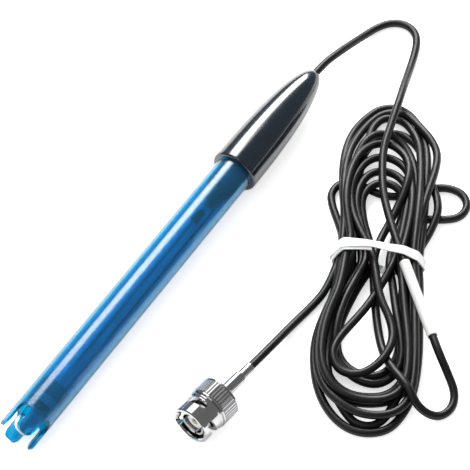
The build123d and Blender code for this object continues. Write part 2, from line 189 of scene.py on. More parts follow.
def join_rings(bm: bmesh.types.BMesh, rings: list) -> None:
    """Fills the strips between closed rings of vertices that follow each other."""
    for first, second in zip(rings, rings[1:]):
        for index in range(len(first)):
            after = (index + 1) % len(first)
            bm.faces.new((first[index], first[after], second[after], second[index]))


def revolved(name: str, outline: list, stand: Stand, material: bpy.types.Material,
             steps: int) -> bpy.types.Object:
    """Turns a closed outline about the X axis of a stand.

    Args:
        name: Name of the piece.
        outline: Points of (place along the axis, radius), in metres.
        stand: Frame that the piece stands in.
        material: Finish of the piece.
        steps: Segments around the axis.

    Returns:
        The new object.
    """
    bm = bmesh.new()
    matrix = stand.matrix()
    rings = []
    for along, radius in outline:
        ring = []
        for index in range(steps):
            angle = 2 * math.pi * index / steps
            place = Vector((along, radius * math.cos(angle), radius * math.sin(angle)))
            ring.append(bm.verts.new(matrix @ place))
        rings.append(ring)
    join_rings(bm, rings + rings[:1])
    bmesh.ops.recalc_face_normals(bm, faces=bm.faces)
    return finish_mesh(name, bm, material)


class Nodes:
    """A small builder for a node tree."""

    def __init__(self, tree: bpy.types.NodeTree) -> None:
        """Keeps the tree that the nodes go into.

        Args:
            tree: A shader or geometry node tree.
        """
        self.tree = tree

    def add(self, kind: str, **values) -> bpy.types.Node:
        """Adds a node and sets its properties, and its inputs where a value's name starts with in_.

        Args:
            kind: Type name of the node.
            values: Properties, and inputs by their number.

        Returns:
            The new node.
        """
        node = self.tree.nodes.new(kind)
        for name, value in values.items():
            if name.startswith("in_"):
                node.inputs[int(name[3:])].default_value = value
            else:
                setattr(node, name, value)
        return node

    def join(self, source: bpy.types.NodeSocket, target: bpy.types.NodeSocket) -> None:
        """Links an output to an input."""
        self.tree.links.new(source, target)

    def feed(self, node: bpy.types.Node, **sources) -> None:
        """Links outputs to a node's inputs, which are named with underscores for their spaces."""
        for name, source in sources.items():
            self.join(source, node.inputs[name.replace("_", " ")])

    def seen_directly(self) -> bpy.types.NodeSocket:
        """Returns 1 for rays that reach the camera straight or through glass, and 0 for the others."""
        path = self.add("ShaderNodeLightPath")
        seen = self.add("ShaderNodeMath", operation="MAXIMUM")
        self.join(path.outputs["Is Camera Ray"], seen.inputs[0])
        self.join(path.outputs["Is Transmission Ray"], seen.inputs[1])
        return seen.outputs["Value"]


def shader_group(name: str, inputs: dict, outputs: tuple) -> tuple:
    """Opens a shader group with its inputs and outputs.

    Args:
        name: Name of the group.
        inputs: Name and value of each input.
        outputs: Names of the outputs.

    Returns:
        The group's builder, the sockets of its inputs, and its output node.
    """
    tree = bpy.data.node_groups.new(name, "ShaderNodeTree")
    for label, default in inputs.items():
        socket = tree.interface.new_socket(name=label, in_out="INPUT", socket_type="NodeSocketFloat")
        socket.default_value = default
    for label in outputs:
        tree.interface.new_socket(name=label, in_out="OUTPUT", socket_type="NodeSocketFloat")
    nodes = Nodes(tree)
    return nodes, nodes.add("NodeGroupInput").outputs, nodes.add("NodeGroupOutput")


def surface_grain() -> bpy.types.NodeTree:
    """Returns the shared group for fine grain: uneven gloss, a small height and a soft change of shade."""
    name = "surface grain"
    if name in bpy.data.node_groups:
        return bpy.data.node_groups[name]
    nodes, given, result = shader_group(name, {
        "Fine Scale": 2000.0, "Broad Scale": 120.0, "Roughness Low": 0.2, "Roughness High": 0.35,
        "Shade Low": 0.9,
    }, ("Roughness", "Height", "Shade"))
    place = nodes.add("ShaderNodeTexCoord").outputs["Object"]
    fine = nodes.add("ShaderNodeTexNoise", in_3=3.0)
    broad = nodes.add("ShaderNodeTexNoise", in_3=4.0)
    gloss = nodes.add("ShaderNodeMapRange", in_1=0.3, in_2=0.7)
    shade = nodes.add("ShaderNodeMapRange", in_1=0.3, in_2=0.7, in_4=1.0)
    nodes.feed(fine, Vector=place, Scale=given["Fine Scale"])
    nodes.feed(broad, Vector=place, Scale=given["Broad Scale"])
    nodes.feed(gloss, Value=broad.outputs["Fac"], To_Min=given["Roughness Low"],
               To_Max=given["Roughness High"])
    nodes.feed(shade, Value=broad.outputs["Fac"], To_Min=given["Shade Low"])
    nodes.feed(result, Roughness=gloss.outputs["Result"], Height=fine.outputs["Fac"],
               Shade=shade.outputs["Result"])
    return nodes.tree


def edge_mask() -> bpy.types.NodeTree:
    """Returns the shared group for a broken mask along convex edges, where a surface is worn bright."""
    name = "edge mask"
    if name in bpy.data.node_groups:
        return bpy.data.node_groups[name]
    nodes, given, result = shader_group(name, {"Start": 0.52, "End": 0.6, "Scale": 900.0}, ("Mask",))
    place = nodes.add("ShaderNodeTexCoord")
    shape = nodes.add("ShaderNodeNewGeometry")
    noise = nodes.add("ShaderNodeTexNoise", in_3=3.0)
    ramp = nodes.add("ShaderNodeMapRange")
    product = nodes.add("ShaderNodeMath", operation="MULTIPLY")
    nodes.feed(noise, Vector=place.outputs["Object"], Scale=given["Scale"])
    nodes.feed(ramp, Value=shape.outputs["Pointiness"], From_Min=given["Start"], From_Max=given["End"])
    nodes.join(ramp.outputs["Result"], product.inputs[0])
    nodes.join(noise.outputs["Fac"], product.inputs[1])
    nodes.feed(result, Mask=product.outputs["Value"])
    return nodes.tree


@dataclass
class Grower:
    """Builds a piece with geometry nodes and keeps the plain mesh that comes out."""

    name: str
    material: bpy.types.Material
    inputs: dict

    def __post_init__(self) -> None:
        """Opens a node group with one named input for each value."""
        self.tree = bpy.data.node_groups.new(self.name + " rule", "GeometryNodeTree")
        self.tree.interface.new_socket(name="Geometry", in_out="INPUT", socket_type="NodeSocketGeometry")
        for label, value in self.inputs.items():
            kind = "NodeSocketInt" if isinstance(value, int) else "NodeSocketFloat"
            self.tree.interface.new_socket(name=label, in_out="INPUT", socket_type=kind)
        self.tree.interface.new_socket(name="Geometry", in_out="OUTPUT", socket_type="NodeSocketGeometry")
        self.nodes = Nodes(self.tree)
        self.given = self.nodes.add("NodeGroupInput")

    def maths(self, operation: str, first, second=None, third=None) -> bpy.types.NodeSocket:
        """Adds one sum of numbers or sockets.

        Args:
            operation: Name of the operation.
            first: Number, socket, or name of a group input.
            second: The same, where the operation takes two.
            third: The same, where it takes three.

        Returns:
            The socket that holds the result.
        """
        node = self.nodes.add("ShaderNodeMath", operation=operation)
        for index, value in enumerate((first, second, third)):
            if isinstance(value, str):
                self.nodes.join(self.given.outputs[value], node.inputs[index])
            elif isinstance(value, bpy.types.NodeSocket):
                self.nodes.join(value, node.inputs[index])
            elif value is not None:
                node.inputs[index].default_value = value
        return node.outputs["Value"]

    def grow(self, geometry: bpy.types.NodeSocket, place: Matrix,
             sharp_deg: float = 35.0) -> bpy.types.Object:
        """Closes the group, runs it once and makes a plain piece of the result.

        Args:
            geometry: The socket that holds the grown shape.
            place: Where the piece stands in the part's frame.
            sharp_deg: Edges that turn by more than this stay sharp.

        Returns:
            The piece, linked to the scene.
        """
        real = self.nodes.add("GeometryNodeRealizeInstances")
        dress = self.nodes.add("GeometryNodeSetMaterial")
        dress.inputs["Material"].default_value = self.material
        out = self.nodes.add("NodeGroupOutput")
        self.nodes.feed(real, Geometry=geometry)
        self.nodes.feed(dress, Geometry=real.outputs["Geometry"])
        self.nodes.feed(out, Geometry=dress.outputs["Geometry"])
        host = link(bpy.data.objects.new(self.name + " host", bpy.data.meshes.new(self.name + " host")))
        modifier = host.modifiers.new("rule", "NODES")
        modifier.node_group = self.tree
        for item in self.tree.interface.items_tree:
            if item.in_out == "INPUT" and item.name in self.inputs:
                modifier[item.identifier] = self.inputs[item.name]
        graph = bpy.context.evaluated_depsgraph_get()
        grown = bpy.data.meshes.new_from_object(host.evaluated_get(graph))
        host.modifiers.remove(modifier)
        bpy.data.objects.remove(host)
        bm = bmesh.new()
        bm.from_mesh(grown)
        bmesh.ops.remove_doubles(bm, verts=bm.verts, dist=0.001 * MM)
        bm.transform(place)
        bmesh.ops.recalc_face_normals(bm, faces=bm.faces)
        return finish_mesh(self.name, bm, self.material, sharp_deg)


@dataclass(frozen=True)
class Finish:
    """A surface: its colour, its gloss and its grain."""

    name: str
    colour: tuple
    roughness: tuple = (0.3, 0.4)
    metallic: float = 0.0
    transmission: float = 0.0
    ior: float = 1.5
    coat: float = 0.0
    coat_roughness: float = 0.1
    coat_ior: float = 1.5
    subsurface: float = 0.0
    grain: float = 2000.0
    broad: float = 150.0
    bump: float = 0.02
    bump_depth: float = 0.02 * MM
    shade_low: float = 0.9
    wear_colour: tuple = ()

    def material(self) -> bpy.types.Material:
        """Returns the finish's material, which is built once."""
        if self.name in bpy.data.materials:
            return bpy.data.materials[self.name]
        material = bpy.data.materials.new(self.name)
        material.use_nodes = True
        nodes = Nodes(material.node_tree)
        shader = material.node_tree.nodes["Principled BSDF"]
        for label, value in (("Metallic", self.metallic), ("Transmission Weight", self.transmission),
                             ("IOR", self.ior), ("Coat Weight", self.coat),
                             ("Coat Roughness", self.coat_roughness), ("Coat IOR", self.coat_ior),
                             ("Subsurface Weight", self.subsurface), ("Subsurface Scale", MM)):
            shader.inputs[label].default_value = value
        group = nodes.add("ShaderNodeGroup", node_tree=surface_grain())
        for label, value in (("Fine Scale", self.grain), ("Broad Scale", self.broad),
                             ("Roughness Low", self.roughness[0]), ("Roughness High", self.roughness[1]),
                             ("Shade Low", self.shade_low)):
            group.inputs[label].default_value = value
        colour = nodes.add("ShaderNodeMix", data_type="RGBA", blend_type="MULTIPLY")
        colour.inputs["Factor"].default_value = 1.0
        colour.inputs["A"].default_value = self.colour
        grey = nodes.add("ShaderNodeCombineColor")
        for channel in grey.inputs:
            nodes.join(group.outputs["Shade"], channel)
        nodes.feed(colour, B=grey.outputs["Color"])
        result = colour.outputs["Result"]
        if self.wear_colour:
            worn = nodes.add("ShaderNodeMix", data_type="RGBA")
            mask = nodes.add("ShaderNodeGroup", node_tree=edge_mask())
            nodes.feed(worn, Factor=mask.outputs["Mask"], A=result)
            worn.inputs["B"].default_value = self.wear_colour
            result = worn.outputs["Result"]
        bump = nodes.add("ShaderNodeBump")
        bump.inputs["Strength"].default_value = self.bump
        bump.inputs["Distance"].default_value = self.bump_depth
        nodes.feed(bump, Height=group.outputs["Height"])
        nodes.feed(shader, Base_Color=result, Roughness=group.outputs["Roughness"],
                   Normal=bump.outputs["Normal"])
        return material


BLUE_SHELL = Finish("blue shell", (0.0, 0.32, 0.6, 1.0), (0.16, 0.22), transmission=0.92, ior=1.3,
                    coat=1.0, coat_roughness=0.2, coat_ior=1.55, shade_low=0.96, bump=0.02)
CLEAR_GLASS = Finish("clear glass", (0.82, 0.94, 0.96, 1.0), (0.02, 0.04), transmission=1.0, ior=1.5,
                     shade_low=0.99, bump=0.0)
JUNCTION = Finish("porous junction", linear(205, 212, 220), (0.8, 0.9), bump=0.4, shade_low=0.8)
SEAL = Finish("dark seal", linear(26, 34, 44), (0.5, 0.6), bump=0.1)
LOWER_SEAL = Finish("lower seal", linear(150, 165, 178), (0.5, 0.6), bump=0.1)
SILVER_WIRE = Finish("silver wire", linear(120, 126, 130), (0.35, 0.5), metallic=0.9)
SPACER = Finish("wire spacer", linear(36, 44, 52), (0.45, 0.55))
RESIN = Finish("potting resin", linear(60, 95, 125), (0.25, 0.4), shade_low=0.7)
CAP_GLOSS = Finish("cap gloss", linear(2, 22, 36), (0.2, 0.26), coat=1.0, coat_roughness=0.13, coat_ior=1.7,
                   bump=0.01, shade_low=0.92)
CABLE_PARTS = Finish("cable parts", linear(40, 40, 42), (0.5, 0.6))
TINNED = Finish("tinned crimp", linear(190, 188, 182), (0.25, 0.4), metallic=1.0)
COPPER = Finish("copper braid", linear(205, 130, 95), (0.3, 0.45), metallic=1.0, bump=0.5, grain=4000.0)
NICKEL = Finish("bright nickel", (0.7, 0.7, 0.71, 1.0), (0.04, 0.09), metallic=1.0, bump=0.01, shade_low=0.88,
                wear_colour=(0.8, 0.8, 0.8, 1.0))
SPRING_STEEL = Finish("spring steel", (0.42, 0.42, 0.43, 1.0), (0.25, 0.4), metallic=1.0)
INSULATOR = Finish("white insulator", linear(244, 243, 240), (0.35, 0.5), subsurface=0.2)
GOLD = Finish("gold contact", (0.83, 0.6, 0.26, 1.0), (0.12, 0.25), metallic=1.0)
GASKET = Finish("soft gasket", linear(150, 148, 142), (0.55, 0.7), bump=0.1)
JACKET = Finish("black jacket", linear(15, 15, 17), (0.36, 0.46), bump=0.12, grain=1400.0, broad=90.0,
                shade_low=0.75)
SLEEVE_WHITE = Finish("shrunk sleeve", linear(226, 226, 224), (0.4, 0.55), subsurface=0.1, bump=0.1,
                      broad=300.0)
TIE_WHITE = Finish("white tie", linear(240, 240, 238), (0.35, 0.5), subsurface=0.15, bump=0.15, broad=400.0)


@dataclass
class Studio:
    """A pale floor, soft lamps and the camera at the photograph's angle."""

    target: Vector = field(default_factory=lambda: Vector((14.02, -12.84, 6.0)) * MM)
    look: Vector = field(default_factory=lambda: Vector((0.5036, 0.3296, -0.7986)))
    distance: float = 0.7
    lens: float = 178.5
    sensor: float = 36.0
    near_clip: float = 0.01
    floor_size: float = 6.0
    floor_shade: tuple = (0.9, 0.9, 0.9, 1.0)
    floor_lift: float = 0.55
    matt_light: float = 0.75
    mirrored_light: float = 0.17
    tube_top: tuple = (-20.0, 0.0, 12.8)
    cap_top: tuple = (56.0, 0.0, 12.0)
    plug_top: tuple = (-44.0, -40.0, 7.0)

    def camera(self) -> None:
        """Places the camera and makes it the scene's own."""
        data = bpy.data.cameras.new("camera")
        data.lens = self.lens
        data.sensor_width = self.sensor
        data.clip_start = self.near_clip
        camera = link(bpy.data.objects.new("camera", data))
        camera.location = self.target - self.look.normalized() * self.distance
        camera.rotation_euler = self.look.to_track_quat("-Z", "Y").to_euler()
        bpy.context.scene.camera = camera

    def lamp(self, name: str, lit: tuple, direction: tuple, distance: float, size: tuple,
             power: float) -> bpy.types.Object:
        """Places a softbox that faces a place on the object, with its height along the electrode.

        Args:
            name: Name of the lamp.
            lit: The place that the box faces, in millimetres.
            direction: From the object towards the lamp.
            distance: From the object to the lamp, in metres.
            size: Width across the electrode and height along it, in metres.
            power: Power in watts.

        Returns:
            The lamp.
        """
        data = bpy.data.lights.new(name, "AREA")
        data.shape = "RECTANGLE"
        data.size = size[0]
        data.size_y = size[1]
        data.energy = power
        lamp = link(bpy.data.objects.new(name, data))
        away = Vector(direction).normalized()
        side = Vector((1, 0, 0)).cross(away).normalized()
        lamp.location = Vector(lit) * MM + away * distance
        lamp.rotation_euler = Matrix((side, away.cross(side), away)).transposed().to_euler()
        return lamp

    def floor(self) -> None:
        """Lays the pale floor, which keeps the object's shadow and goes white to the camera."""
        bm = bmesh.new()
        bmesh.ops.create_grid(bm, x_segments=2, y_segments=2, size=self.floor_size / 2)
        material = bpy.data.materials.new("pale floor")
        material.use_nodes = True
        nodes = Nodes(material.node_tree)
        shader = material.node_tree.nodes["Principled BSDF"]
        shader.inputs["Base Color"].default_value = self.floor_shade
        shader.inputs["Roughness"].default_value = 0.9
        shader.inputs["Specular IOR Level"].default_value = 0.1
        lift = nodes.add("ShaderNodeMath", operation="MULTIPLY", in_1=self.floor_lift)
        nodes.join(nodes.seen_directly(), lift.inputs[0])
        shader.inputs["Emission Color"].default_value = (1.0, 1.0, 1.0, 1.0)
        nodes.feed(shader, Emission_Strength=lift.outputs["Value"])
        floor = finish_mesh("floor", bm, material)

    def world(self) -> None:
        """Sets an even surrounding: white to the camera, softer on matt surfaces and dim in reflections."""
        world = bpy.data.worlds.new("studio")
        bpy.context.scene.world = world
        world.use_nodes = True
        nodes = Nodes(world.node_tree)
        background = world.node_tree.nodes["Background"]
        path = nodes.add("ShaderNodeLightPath")
        gloss = nodes.add("ShaderNodeMapRange", in_3=self.matt_light, in_4=self.mirrored_light)
        nodes.feed(gloss, Value=path.outputs["Is Glossy Ray"])
        strength = nodes.add("ShaderNodeMapRange", in_4=1.0)
        nodes.feed(strength, Value=nodes.seen_directly(), To_Min=gloss.outputs["Result"])
        nodes.feed(background, Strength=strength.outputs["Result"])
        background.inputs["Color"].default_value = (1.0, 1.0, 1.0, 1.0)

    def flag(self, lamp: bpy.types.Object, shaded: list) -> None:
        """Keeps a lamp off some pieces, as a flag on a stand would.

        Args:
            lamp: The lamp.
            shaded: Pieces that it doesn't light.
        """
        group = bpy.data.collections.new(lamp.name + " flag")
        lamp.light_linking.receiver_collection = group
        for piece in shaded:
            group.objects.link(piece)
        for row in group.collection_objects:
            row.light_linking.link_state = "EXCLUDE"

    def build(self, shaded: list) -> None:
        """Sets up the whole studio.

        Args:
            shaded: Bright metal pieces that the key lamp is kept off.
        """
        bpy.context.scene.view_settings.view_transform = "Standard"
        self.camera()
        self.floor()
        self.world()
        key = self.lamp("key", self.tube_top, direction=(0.4667, 0.452, 0.7576), distance=0.6,
                        size=(0.3, 0.2), power=1.5)
        self.flag(key, shaded)
        self.lamp("plug key", self.plug_top, direction=(0.48, 0.49, 0.726), distance=0.6, size=(0.34, 0.3),
                  power=0.5)
        self.lamp("cap key", self.cap_top, direction=(0.7, 0.415, 0.52), distance=0.58, size=(0.27, 0.36),
                  power=3.2)
        self.lamp("top", self.tube_top, direction=(-0.5, 0.2, 0.9), distance=1.4, size=(0.9, 0.9), power=2.2)
        LOG.info("studio ready")


@dataclass(frozen=True)
class Pass:
    """One pass of the cord through a lobe: its rank in the pile and its places across and along the hank."""

    rank: int
    places: tuple


@dataclass
class Hank:
    """The loose turns of the lead, held at the waist by a tie."""

    centre: Vector = field(default_factory=lambda: Vector((31.3, -53.0, 0.0)))
    along: Vector = field(default_factory=lambda: Vector((0.885, 0.465, 0.0)))
    across: Vector = field(default_factory=lambda: Vector((0.465, -0.885, 0.0)))
    cable_d: float = 2.5
    samples_per_step: int = 5
    rounds: int = 160
    still_rounds: int = 30
    search_every: int = 8
    search_margin: float = 2.0
    half_push: float = 0.5
    most_push: float = 0.6
    pull_home: float = 0.05
    evening: float = 0.7
    stiffness: float = 0.06
    sink: float = 0.05
    waist_reach: float = 6.0
    waist_half_width: float = 20.0
    tiny: float = 1e-9
    plan_reach: float = 0.9
    rank_lift: float = 0.75
    waist_lift: float = 0.55
    entry_height: float = 8.6
    entry: tuple = ((5.7, -39.7), (3.0, -33.0), (1.1, -24.3), (-0.6, -12.5))
    passes: tuple = (
        Pass(9, ((-1.8, 0.0), (0.2, 8.1), (2.6, 14.1), (4.4, 18.9), (6.2, 23.6), (7.4, 29.1),
            (7.4, 35.1), (5.5, 40.4), (1.3, 44.1), (-4.0, 43.2), (-8.0, 38.6), (-10.0, 33.4), (-11.0, 28.1),
            (-11.4, 20.0), (-10.3, 12.4), (-8.6, 4.5))),
        Pass(8, ((-10.0, 0.0), (-10.9, -13.8), (-13.8, -22.8), (-15.1, -31.8), (-14.8, -39.5),
            (-12.3, -46.1), (-7.7, -49.8), (-1.6, -51.0), (4.9, -50.4), (9.2, -47.3), (10.8, -41.1),
            (10.6, -31.2), (8.9, -20.2), (7.6, -10.8))),
        Pass(8, ((6.0, 0.0), (7.5, 7.8), (8.3, 17.2), (8.2, 25.3), (7.0, 33.0), (4.0, 38.0),
            (-1.2, 39.8), (-6.2, 36.8), (-9.3, 30.6), (-10.7, 23.7), (-9.6, 15.7), (-6.6, 8.3))),
        Pass(13, ((-2.0, 0.0), (-0.3, -10.4), (1.3, -16.7), (4.4, -22.7), (5.9, -29.2),
            (4.5, -35.5), (1.0, -40.6), (-4.0, -43.3), (-9.2, -42.2), (-11.8, -37.2), (-10.4, -31.6),
            (-5.2, -23.0), (-1.4, -16.2), (3.1, -5.5))),
        Pass(8, ((5.0, 0.0), (6.7, 10.4), (7.5, 18.1), (7.8, 24.4), (7.0, 29.2), (3.8, 33.6),
            (-1.4, 34.9), (-6.0, 31.6), (-8.6, 25.3), (-8.7, 18.2), (-6.1, 10.8))),
        Pass(7, ((-4.0, 0.0), (-6.9, -8.0), (-10.2, -17.2), (-11.9, -26.2), (-11.6, -33.8),
            (-8.9, -39.0), (-4.0, -42.7), (2.1, -43.7), (6.8, -40.5), (9.1, -35.0), (8.3, -26.8),
            (6.3, -16.8), (5.0, -6.1))),
        Pass(7, ((3.5, 0.0), (5.2, 10.9), (6.7, 18.3), (7.3, 23.0), (5.2, 28.0), (0.2, 29.9),
            (-4.4, 28.2), (-7.2, 23.2), (-6.0, 15.4), (-3.7, 8.9))),
        Pass(6, ((-1.0, 0.0), (-4.6, -6.2), (-7.9, -14.9), (-10.3, -23.1), (-10.7, -30.3),
            (-9.1, -35.8), (-5.4, -39.3), (0.2, -40.9), (5.0, -38.3), (7.6, -32.8), (7.8, -25.0),
            (7.5, -16.0), (7.9, -7.6))),
        Pass(6, ((7.5, 0.0), (8.4, 11.0), (9.1, 21.0), (9.7, 29.7), (8.7, 37.5), (6.6, 43.8),
            (2.8, 48.2), (-2.8, 48.2), (-6.6, 43.8), (-8.4, 39.2), (-9.7, 34.2), (-10.7, 24.6), (-9.5, 15.6),
            (-7.4, 7.4))),
        Pass(4, ((-8.0, 0.0), (-10.9, -13.0), (-14.3, -21.9), (-15.7, -31.2), (-15.3, -39.8),
            (-12.8, -47.2), (-8.4, -51.9), (-3.9, -54.4), (0.7, -55.3), (5.8, -54.8), (9.6, -52.1),
            (11.8, -47.3), (12.3, -38.2), (11.8, -27.6), (11.2, -16.7), (11.1, -7.4))),
        Pass(4, ((10.0, 0.0), (10.5, 10.1), (10.9, 19.8), (11.0, 30.1), (10.6, 40.0), (9.6, 46.6),
            (7.2, 52.2), (3.9, 56.4), (-1.7, 57.2), (-5.2, 52.6), (-6.4, 46.5), (-7.4, 40.0), (-8.2, 32.9),
            (-8.8, 22.2), (-8.2, 12.6))),
        Pass(3, ((-5.0, 0.0), (-8.6, -8.1), (-11.7, -16.1), (-13.4, -25.7), (-13.6, -35.4),
            (-12.4, -43.6), (-10.0, -49.3), (-7.0, -53.6), (-3.6, -57.4), (1.4, -58.0), (5.2, -54.6),
            (7.2, -50.0), (9.0, -46.0), (10.6, -42.1), (11.3, -33.3), (11.0, -22.7), (10.2, -11.8),
            (9.5, -3.0))),
        Pass(3, ((9.3, 4.5), (10.8, 13.8), (12.8, 24.2), (15.1, 34.5), (15.6, 41.7), (13.4, 47.3),
            (10.1, 51.7), (6.8, 56.4), (3.2, 59.2), (-2.0, 59.0), (-5.8, 55.0), (-8.8, 49.1), (-11.1, 42.0),
            (-12.1, 33.0), (-11.8, 23.1), (-10.5, 13.5))),
        Pass(2, ((-10.5, 0.0), (-11.4, -12.4), (-14.6, -21.3), (-16.3, -29.7), (-16.1, -37.9),
            (-14.5, -46.1), (-11.4, -52.7), (-7.1, -57.4), (-2.3, -59.5), (2.5, -59.3), (6.4, -57.5),
            (9.3, -53.5), (11.6, -48.1), (12.6, -41.5), (12.9, -31.3), (12.4, -20.5), (12.2, -9.5))),
        Pass(2, ((11.5, 0.0), (12.3, 11.3), (12.8, 22.3), (12.9, 31.3), (12.8, 40.1), (11.6, 48.8),
            (9.5, 55.1), (6.4, 59.3), (2.4, 61.7), (-2.7, 60.7), (-6.4, 56.8), (-9.8, 51.6), (-11.9, 44.9),
            (-12.5, 36.0), (-11.9, 26.2), (-10.6, 15.6))),
        Pass(1, ((-9.5, 0.0), (-9.5, -9.4), (-12.2, -18.0), (-13.9, -26.7), (-14.5, -34.2),
            (-13.7, -40.8), (-10.7, -45.8), (-5.9, -48.7), (-0.4, -49.2), (5.6, -48.0), (9.7, -44.1),
            (11.6, -37.3), (11.8, -28.2), (11.2, -17.5), (10.7, -6.6))),
        Pass(1, ((8.5, 0.0), (13.4, 10.6), (15.5, 15.6), (16.6, 20.4), (15.9, 25.3), (14.2, 30.0),
            (12.5, 37.7), (10.6, 44.3), (8.2, 48.2), (3.6, 51.6), (-1.6, 50.4), (-5.2, 45.8), (-7.6, 40.2),
            (-9.5, 33.2), (-10.4, 23.3), (-9.5, 13.7))),
        Pass(0, ((-7.5, 0.0), (-9.8, -8.9), (-12.7, -18.3), (-14.4, -27.5), (-14.3, -36.3),
            (-12.1, -43.5), (-7.2, -47.5), (-1.6, -48.7), (5.0, -47.7), (9.3, -43.5), (11.0, -37.1),
            (11.1, -26.5), (9.7, -15.8), (8.3, -6.8))),
        Pass(0, ((5.5, 0.0), (6.2, 6.5), (6.4, 11.2), (8.4, 16.1), (13.0, 18.5), (18.6, 18.6),
            (23.6, 20.0), (26.0, 24.6), (24.2, 29.4), (19.6, 31.4), (14.8, 30.6), (10.6, 28.3), (5.6, 26.4),
            (0.4, 26.2), (-4.3, 28.1), (-8.6, 30.9), (-13.4, 30.4), (-16.1, 26.0), (-15.3, 21.1),
            (-13.1, 15.3), (-11.0, 9.0))),
    )

    def point(self, w: float, h: float, z: float) -> Vector:
        """Returns a place in the part's frame, in millimetres, from a place across and along the hank."""
        return self.centre + self.across * w + self.along * h + Vector((0, 0, z))

    def route(self) -> list:
        """Returns the turns' control points in millimetres, before they settle."""
        points = [self.point(w, h, self.entry_height) for w, h in self.entry]
        for one in self.passes:
            height = self.cable_d / 2 + one.rank * self.rank_lift
            points.extend(self.point(w, h, height) for w, h in one.places)
        return points

    def weights(self, count: int) -> np.ndarray:
        """Works out how the cord's samples follow from its control points.

        Args:
            count: Number of control points.

        Returns:
            One row of shares for each sample.
        """
        rows = np.zeros(((count - 2) * self.samples_per_step, count))
        for index in range(1, count - 1):
            for k in range(self.samples_per_step):
                u = (k + 0.5) / self.samples_per_step
                row = (index - 1) * self.samples_per_step + k
                rows[row, index - 1:index + 2] = (0.5 * (1 - u) ** 2, 0.5 + u * (1 - u), 0.5 * u * u)
        return rows

    def near_pairs(self, samples: np.ndarray) -> tuple:
        """Finds the pairs of samples of different strands that are close enough to touch soon.

        Args:
            samples: Places along the cord.

        Returns:
            The first and the second sample of each pair.
        """
        square = (samples ** 2).sum(axis=1)
        distance = square[:, None] + square[None, :] - 2 * samples @ samples.T
        order = np.arange(len(samples))
        apart = order[None, :] - order[:, None] > 2 * self.samples_per_step
        return np.nonzero(apart & (distance < (self.cable_d + self.search_margin) ** 2))

    def settle(self, before: list, after: list) -> list:
        """Lets the turns sink onto the floor and onto each other, with the strands kept apart.

        Args:
            before: Fixed points of the lead ahead of the turns, in millimetres.
            after: Fixed points of the tail.

        Returns:
            The turns' points after they have settled.
        """
        turns = self.route()
        control = np.array([tuple(p) for p in before + turns + after])
        home = control.copy()
        free = np.zeros(len(control))
        free[len(before):len(before) + len(turns)] = 1.0
        weights = self.weights(len(control))
        load = weights.sum(axis=0)[:, None] + self.tiny
        off_waist = (control[:, :2] - np.array(self.centre[:2])) @ np.array(self.along[:2])
        floor = self.cable_d / 2 + self.waist_lift * np.exp(-(off_waist / self.waist_reach) ** 2)
        for turn in range(self.rounds):
            samples = weights @ control
            if turn % self.search_every == 0:
                first, second = self.near_pairs(samples)
            gap = samples[first] - samples[second]
            reach = np.linalg.norm(gap, axis=1)[:, None] + 1e-6
            step = gap / reach * np.clip(self.cable_d - reach, 0, None) * self.half_push
            push = np.zeros_like(samples)
            np.add.at(push, first, step)
            np.add.at(push, second, -step)
            control += np.clip(weights.T @ push / load, -self.most_push, self.most_push) * free[:, None]
            drift = home[:, :2] - control[:, :2]
            over = np.linalg.norm(drift, axis=1)
            back = np.clip(over - self.plan_reach, 0, None) / (over + self.tiny)
            control[:, :2] += drift * (self.pull_home + back)[:, None] * free[:, None]
            shift = control - home
            even = (shift[:-2, :2] + shift[2:, :2]) / 2 - shift[1:-1, :2]
            control[1:-1, :2] += self.evening * even * free[1:-1, None]
            level = (control[:-2, 2] + control[2:, 2]) / 2
            control[1:-1, 2] += self.stiffness * (level - control[1:-1, 2]) * free[1:-1]
            sink = self.sink if turn < self.rounds - self.still_rounds else 0.0
            control[:, 2] = np.where(free > 0, np.maximum(control[:, 2] - sink, floor), control[:, 2])
        LOG.info("hank settled, highest point %.1f mm", control[free > 0, 2].max())
        return [Vector(row) for row in control[len(before):len(before) + len(turns)]]

    def waist_rope(self, control: list, half: float) -> list:
        """Finds where the strands cross the waist.

        Args:
            control: The whole lead's control points, in millimetres.
            half: Half the length along the hank that counts as the waist.

        Returns:
            Places (across, height) of the strands' samples there.
        """
        rows = np.array([tuple(p) for p in control])
        samples = self.weights(len(rows)) @ rows
        plan = samples[:, :2] - np.array(self.centre[:2])
        across = plan @ np.array(self.across[:2])
        along = plan @ np.array(self.along[:2])
        inside = (np.abs(along) < half) & (np.abs(across) < self.waist_half_width)
        return list(zip(across[inside], samples[inside, 2]))


